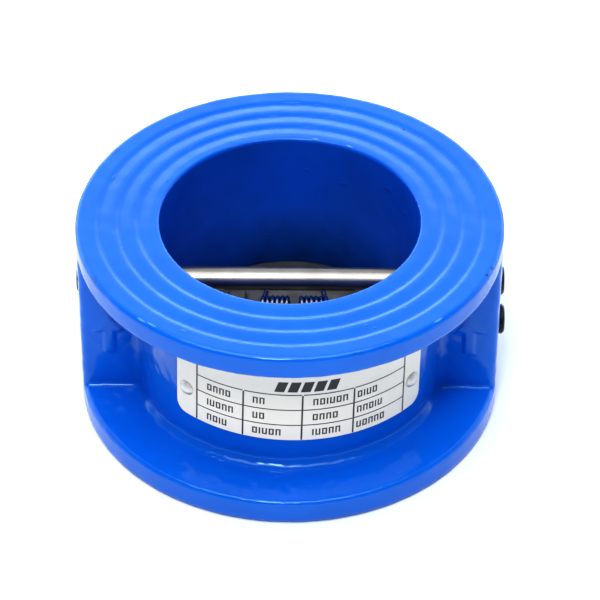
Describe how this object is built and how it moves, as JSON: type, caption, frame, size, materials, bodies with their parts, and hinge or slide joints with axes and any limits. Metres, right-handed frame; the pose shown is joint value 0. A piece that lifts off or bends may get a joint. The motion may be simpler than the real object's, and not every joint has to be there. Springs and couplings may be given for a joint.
{
  "type": "wafer dual-plate check valve",
  "caption": "Short round wafer valve body with grooved gasket faces, two spring-closed half-disc plates on a hinge pin, a stop pin, and side plugs.",
  "frame": {"origin": "centre of the inlet face", "axes": "+Z along the flow from inlet face to outlet face, +X along the hinge pin, -Y towards the nameplate"},
  "size_m": [0.1086, 0.107, 0.054],
  "materials": {
    "blue_epoxy": "thick glossy blue epoxy over ductile iron",
    "epdm": "black moulded EPDM",
    "cast_stainless": "fine blasted and ground stainless",
    "polished_stainless": "ground and polished",
    "spring_wire": "drawn wire, bright",
    "bearing_ptfe": "white filled PTFE",
    "black_oxide": "black oxide, lightly oiled",
    "seal_rubber": "black",
    "nameplate_metal": "satin with printed blank table",
    "rivet_metal": "satin"
  },
  "bodies": {
    "valve_body": {"body": "blue_epoxy", "seat_ring": "epdm", "hinge_pin": "polished_stainless", "stop_pin": "polished_stainless", "left_spring": "spring_wire", "right_spring": "spring_wire", "plate_bearing_left": "bearing_ptfe", "plate_bearing_right": "bearing_ptfe", "body_bearing_left": "bearing_ptfe", "body_bearing_right": "bearing_ptfe", "hinge_plug_left": "black_oxide", "hinge_plug_right": "black_oxide", "stop_plug_left": "black_oxide", "stop_plug_right": "black_oxide", "hinge_seal_left": "seal_rubber", "hinge_seal_right": "seal_rubber", "stop_seal_left": "seal_rubber", "stop_seal_right": "seal_rubber", "nameplate": "nameplate_metal", "nameplate_rivets": "rivet_metal"},
    "rear_plate": {"rear_plate": "cast_stainless"},
    "front_plate": {"front_plate": "cast_stainless"}
  },
  "joints": [
    {"name": "rear_plate_hinge", "type": "hinge", "parent": "valve_body", "child": "rear_plate", "pos_m": [0, 0, 0.0215], "axis": [1, 0, 0], "range_deg": [0, 85], "stiffness_Nm_per_rad": 0.06, "springref_deg": -74.48, "deforming": ["left_spring"]},
    {"name": "front_plate_hinge", "type": "hinge", "parent": "valve_body", "child": "front_plate", "pos_m": [0, 0, 0.0215], "axis": [-1, 0, 0], "range_deg": [0, 85], "stiffness_Nm_per_rad": 0.06, "springref_deg": -74.48, "deforming": ["right_spring"]}
  ]
}
